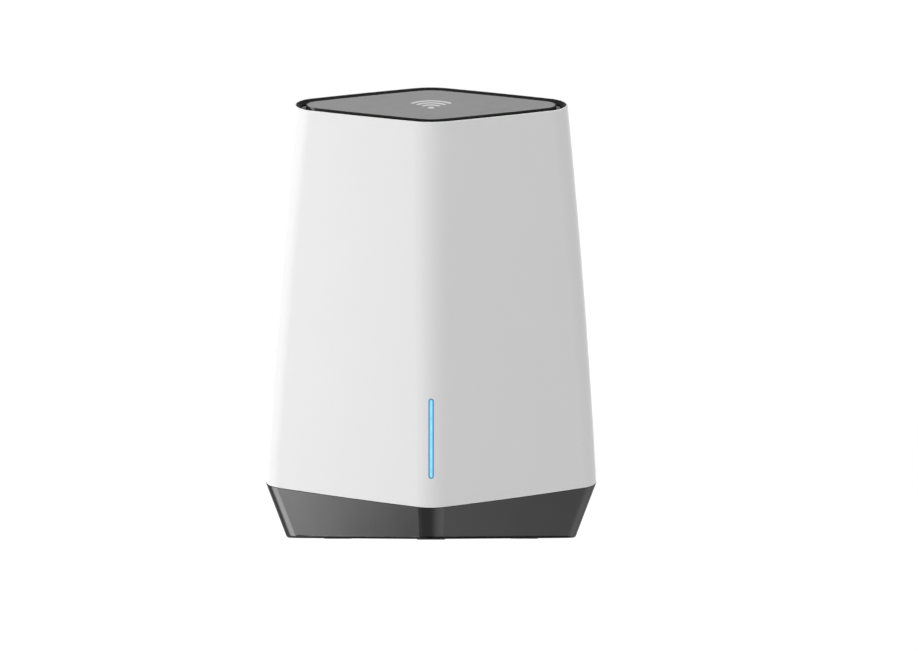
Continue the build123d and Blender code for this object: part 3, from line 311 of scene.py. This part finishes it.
def all_materials():
    """Every material by its slot, and the white of the printed marks."""
    made = {name: moulded(name, *finish) for name, finish in MOULDED.items()}
    for name, finish in WORKED_METAL.items():
        made[name] = worked_metal(name, *finish)
    for name, mask in CIRCUIT_BOARD.items():
        made[name] = circuit_board(name, mask)
    made["tub_grey"] = moulded("tub_grey", *TUB_FINISH, Metallic=1.0, Specular_Tint=TUB_EDGE)
    made["light_pipe"] = lit_strip("light_pipe")
    return made


materials = all_materials()
for entry in frame["record"]["subparts"]:
    for holder in frame["nodes"][entry["node"]].material_slots:
        holder.material = materials[entry["material_slot"]]


# ---- printed marks ----------------------------------------------------------------------------
ARC_STEP = math.radians(6)  # longest step along a curved outline
PRINT_PROUD = 0.04 * MM  # how far printed marks stand off the surface they are on
RAY_GAP = 0.01  # how far above the plate a ray starts
BEHIND = 0.1  # a place on Y that is well behind the socket panel

SIGNAL_DOT_MM = 1.8
SIGNAL_ARCS_MM = (5.6, 9.8, 14.0)
SIGNAL_STROKE_MM = 2.1
SIGNAL_HALF_ANGLE = math.radians(48)
SIGNAL_DROP_MM = 6.5  # from the middle of the plate to the dot

DIGITS = (1, 2, 3, 4)
DIGIT_SIZE_MM = 4.6
DIGIT_RISE_MM = 9.0  # from the middle of the socket, as the next rises are from their buttons
POWER_RISE_MM = 8.6
POWER_RADIUS_MM = 1.7
POWER_STROKE_MM = 0.45
POWER_HALF_GAP = math.radians(35)
POWER_BAR_MM = ((-0.22, 0.5), (0.22, 2.3))
SYNC_RISE_MM = 7.0
SYNC_RADIUS_MM = 1.6
SYNC_STROKE_MM = 0.4
SYNC_HEAD_MM = 0.65  # half the width of an arrow head
SYNC_START = math.radians(20)
SYNC_END = math.radians(140)
SYNC_TIP = math.radians(38)

UP = math.pi / 2
PANEL_RIGHT = Vector((-1.0, 0.0, 0.0))
PANEL_UP = Vector((0.0, 0.0, 1.0))


def on_circle(radius, turn):
    """Point on a circle round the origin."""
    return (radius * math.cos(turn), radius * math.sin(turn))


def arc_points(radius, start, end):
    """Points along an arc, by angle from the first axis."""
    count = max(2, round(abs(end - start) / ARC_STEP) + 1)
    return [on_circle(radius, start + (end - start) * k / (count - 1)) for k in range(count)]


def rounded_tip(radius, half, turn, facing):
    """Half circle that closes a curved stroke at one of its ends."""
    middle = on_circle(radius, turn)
    circle = arc_points(half, facing, facing + math.pi)[1:-1]
    return [(middle[0] + x, middle[1] + y) for x, y in circle]


def band(radius, width, start, end):
    """Outline of a curved stroke with rounded ends."""
    half = width / 2
    outer = arc_points(radius + half, start, end)
    inner = arc_points(radius - half, end, start)
    tip_end = rounded_tip(radius, half, end, end)
    tip_start = rounded_tip(radius, half, start, start + math.pi)
    return outer + tip_end + inner + tip_start


def bar(low, high):
    """Outline of a plain rectangular stroke."""
    return [(low[0], low[1]), (high[0], low[1]), (high[0], high[1]), (low[0], high[1])]


def surface_at(node, start, way):
    """Point and normal where a ray from start first meets a CAD node."""
    hit, point, normal, _ = frame["nodes"][node].ray_cast(Vector(start), Vector(way))
    if not hit:
        raise ValueError(f"no surface of {node} there")
    return point, normal


def panel_point(x_mm, z_mm):
    """Point on the socket panel at x and z."""
    return surface_at("port_bay", (x_mm * MM, BEHIND, z_mm * MM), (0.0, -1.0, 0.0))[0]


def middle_of(node):
    """X and z of the middle of a CAD node, in millimetres."""
    low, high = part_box(node)
    return (low.x + high.x) / 2 / MM, (low.z + high.z) / 2 / MM


def add_print(name, data, location=(0.0, 0.0, 0.0), rotation=(0.0, 0.0, 0.0)):
    """Printed piece that rides on the casing."""
    data.materials.append(materials["print_white"])
    piece = bpy.data.objects.new(name, data)
    bpy.context.scene.collection.objects.link(piece)
    piece.location = location
    piece.rotation_euler = rotation
    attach(piece, "root")


def printed(name, outlines, origin, right, up):
    """Thin raised print made of flat outlines, given in millimetres in its own plane."""
    out = right.cross(up).normalized()
    points = []
    faces = []
    for outline in outlines:
        first = len(points)
        count = len(outline)
        for lift in (0.0, PRINT_PROUD):
            for x, y in outline:
                points.append(origin + right * (x * MM) + up * (y * MM) + out * lift)
        faces.append(list(range(first + count - 1, first - 1, -1)))
        faces.append(list(range(first + count, first + 2 * count)))
        for k in range(count):
            after = (k + 1) % count
            faces.append([first + k, first + after, first + count + after, first + count + k])
    mesh = bpy.data.meshes.new(name)
    mesh.from_pydata(points, [], faces)
    mesh.update()
    add_print(name, mesh)


def signal_mark():
    """Three arcs over a dot on the top plate: a plain signal symbol."""
    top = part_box("top_plate")[1].z
    point, normal = surface_at("top_plate", (0.0, 0.0, top + RAY_GAP), (0.0, 0.0, -1.0))
    right = Vector((1.0, 0.0, 0.0))
    up = normal.cross(right).normalized()
    outlines = [arc_points(SIGNAL_DOT_MM, 0.0, 2 * math.pi - ARC_STEP)]
    for radius in SIGNAL_ARCS_MM:
        start = UP - SIGNAL_HALF_ANGLE
        end = UP + SIGNAL_HALF_ANGLE
        outlines.append(band(radius, SIGNAL_STROKE_MM, start, end))
    printed("top_signal_mark", outlines, point - up * (SIGNAL_DROP_MM * MM), right, up)


def socket_number(digit):
    """Printed number above a network socket."""
    x, z = middle_of(f"socket_{digit}_shield")
    name = f"socket_digit_{digit}"
    curve = bpy.data.curves.new(name, "FONT")
    curve.body = str(digit)
    curve.size = DIGIT_SIZE_MM * MM
    curve.align_x = "CENTER"
    curve.extrude = PRINT_PROUD / 2
    location = panel_point(x, z + DIGIT_RISE_MM) + Vector((0.0, PRINT_PROUD / 2, 0.0))
    add_print(name, curve, location, (math.pi / 2, 0.0, math.pi))


def power_mark():
    """Open circle with a bar, above the power key."""
    x, z = middle_of("power_button")
    start = UP + POWER_HALF_GAP
    end = UP + 2 * math.pi - POWER_HALF_GAP
    outlines = [band(POWER_RADIUS_MM, POWER_STROKE_MM, start, end), bar(*POWER_BAR_MM)]
    place_at = panel_point(x, z + POWER_RISE_MM)
    printed("power_symbol", outlines, place_at, PANEL_RIGHT, PANEL_UP)


def sync_mark():
    """Two arrows that chase each other, above the sync key."""
    x, z = middle_of("sync_button")
    outlines = []
    for half_turn in (0.0, math.pi):
        end = half_turn + SYNC_END
        outlines.append(band(SYNC_RADIUS_MM, SYNC_STROKE_MM, half_turn + SYNC_START, end))
        inner = on_circle(SYNC_RADIUS_MM - SYNC_HEAD_MM, end)
        outer = on_circle(SYNC_RADIUS_MM + SYNC_HEAD_MM, end)
        outlines.append([inner, outer, on_circle(SYNC_RADIUS_MM, end + SYNC_TIP)])
    place_at = panel_point(x, z + SYNC_RISE_MM)
    printed("sync_symbol", outlines, place_at, PANEL_RIGHT, PANEL_UP)


signal_mark()
for digit in DIGITS:
    socket_number(digit)
power_mark()
sync_mark()


# ---- studio -----------------------------------------------------------------------------------
CAMERA_PLACE = Vector((0.0, -3.55, 0.06875))
CAMERA_AIM = Vector((0.0156, 0.0, 0.11935))
CAMERA_LENS = 248.6
CAMERA_SENSOR = 36.0
CAMERA_NEAR = 0.1
CAMERA_FAR = 100.0

FLOOR_REACH = 300.0
FLOOR_GLOW = 0.98
FLOOR_ROUGHNESS = 0.9
FLOOR_PATCH_MM = 60.0
FLOOR_DARK = grey(0.1)
FLOOR_PALE = grey(0.11)

LIGHT_AIM = Vector((0.0, 0.0, 0.12))
# Name, place, side and watts of each softbox.
SOFTBOXES = [
    ("key_left", (-1.6, -0.6, 0.45), 1.2, 17.7),
    ("top", (0.0, 0.25, 1.5), 1.2, 16.0),
    ("rear_left", (-1.2, 1.3, 0.25), 0.8, 5.5),
    ("rear_right", (0.9, 1.6, 0.25), 0.8, 4.0),
]

SEEN_STRENGTH = 1.05  # of the surroundings where the camera sees them
HIGH_STRENGTH = 0.27  # of the surroundings above the horizon, as light on the object
HORIZON_BLUR = 0.06
# Height of a direction, from -1 straight down, between which the surroundings fade.
FADE_FROM = -0.58
FADE_TO = -0.78
FADE_SHARE = 0.1
# Strength of the surroundings below the horizon by azimuth in degrees, from the front to the left.
LOW_STRENGTH_MOST = 4.0
LOW_STRENGTH = [
    (-180, 1.1),
    (-120, 1.0),
    (-80, 0.95),
    (-60, 0.6),
    (-50, 0.53),
    (-44, 0.73),
    (-38, 1.02),
    (-32, 0.9),
    (-12, 0.62),
    (-5, 0.29),
    (36, 0.27),
    (40, 0.36),
    (45, 0.73),
    (50, 1.6),
    (55, 2.7),
    (61, 3.6),
    (88, 3.8),
    (102, 1.5),
    (112, 0.35),
    (124, 0.45),
    (134, 0.9),
    (180, 1.1),
]


def floor():
    """Large pale floor that glows faintly, so it is as white as the surroundings."""
    corners = [(-1, -1), (1, -1), (1, 1), (-1, 1)]
    points = [(x * FLOOR_REACH, y * FLOOR_REACH, 0.0) for x, y in corners]
    mesh = bpy.data.meshes.new("floor")
    mesh.from_pydata(points, [], [(0, 1, 2, 3)])
    piece = bpy.data.objects.new("floor", mesh)
    bpy.context.scene.collection.objects.link(piece)
    material, tree, shader = new_material(
        "floor_white",
        Roughness=FLOOR_ROUGHNESS,
        Specular_IOR_Level=0.0,
        Emission_Color=grey(1.0),
        Emission_Strength=FLOOR_GLOW,
    )
    faint = remap(tree, noise(tree, FLOOR_PATCH_MM), 0.0, 1.0)
    tree.links.new(blend(tree, faint, FLOOR_DARK, FLOOR_PALE), shader.inputs["Base Color"])
    mesh.materials.append(material)
    piece.visible_glossy = False


def low_strength(tree, parts):
    """Strength below the horizon: bright on the left, dark in front of the ridge, even behind."""
    left = calculate(tree, "MULTIPLY", parts.outputs["X"], -1.0)
    front = calculate(tree, "MULTIPLY", parts.outputs["Y"], -1.0)
    turn = calculate(tree, "ARCTAN2", left, front)
    share = remap(tree, turn, 0.0, 1.0, -math.pi, math.pi)
    ramp = add(tree, "ShaderNodeValToRGB", {"Fac": share})
    stops = ramp.color_ramp.elements
    while len(stops) < len(LOW_STRENGTH):
        stops.new(0.5)
    for stop, (degrees, strength) in zip(stops, LOW_STRENGTH):
        stop.position = (degrees + 180) / 360
        stop.color = grey(strength / LOW_STRENGTH_MOST)
    around = calculate(tree, "MULTIPLY", ramp.outputs["Color"], LOW_STRENGTH_MOST)
    deep = remap(tree, parts.outputs["Z"], FADE_SHARE, 1.0, FADE_TO, FADE_FROM)
    return calculate(tree, "MULTIPLY", around, deep)


def surroundings():
    """Studio surroundings: white where the camera sees them, softer as light on the object."""
    world = bpy.data.worlds.new("studio")
    bpy.context.scene.world = world
    world.use_nodes = True
    tree = world.node_tree
    tree.nodes.clear()
    direction = add(tree, "ShaderNodeTexCoord").outputs["Generated"]
    parts = add(tree, "ShaderNodeSeparateXYZ", {"Vector": direction})
    above = remap(tree, parts.outputs["Z"], 0.0, 1.0, -HORIZON_BLUR, HORIZON_BLUR)
    low = low_strength(tree, parts)
    light = add(
        tree, "ShaderNodeMix", {"Factor": above, "A": low, "B": HIGH_STRENGTH}
    ).outputs["Result"]
    to_camera = add(tree, "ShaderNodeLightPath").outputs["Is Camera Ray"]
    strength = add(
        tree, "ShaderNodeMix", {"Factor": to_camera, "A": light, "B": SEEN_STRENGTH}
    ).outputs["Result"]
    back = add(tree, "ShaderNodeBackground", {"Color": grey(1.0), "Strength": strength})
    output = add(tree, "ShaderNodeOutputWorld")
    tree.links.new(back.outputs["Background"], output.inputs["Surface"])


def softbox(name, place_at, side, watts):
    """Square soft light aimed at the object."""
    light = bpy.data.lights.new(name, "AREA")
    light.shape = "SQUARE"
    light.size = side
    light.energy = watts
    holder = bpy.data.objects.new(name, light)
    bpy.context.scene.collection.objects.link(holder)
    holder.location = place_at
    holder.rotation_euler = (LIGHT_AIM - Vector(place_at)).to_track_quat("-Z", "Y").to_euler()


def camera():
    """Long lens, a little above the floor, looking at the front ridge."""
    lens = bpy.data.cameras.new("camera")
    lens.lens = CAMERA_LENS
    lens.sensor_width = CAMERA_SENSOR
    lens.clip_start = CAMERA_NEAR
    lens.clip_end = CAMERA_FAR
    holder = bpy.data.objects.new("camera", lens)
    bpy.context.scene.collection.objects.link(holder)
    holder.location = CAMERA_PLACE
    holder.rotation_euler = (CAMERA_AIM - CAMERA_PLACE).to_track_quat("-Z", "Y").to_euler()
    bpy.context.scene.camera = holder


bpy.context.scene.view_settings.view_transform = "Standard"
floor()
surroundings()
for name, place_at, side, watts in SOFTBOXES:
    softbox(name, place_at, side, watts)
camera()

bpy.context.view_layer.update()
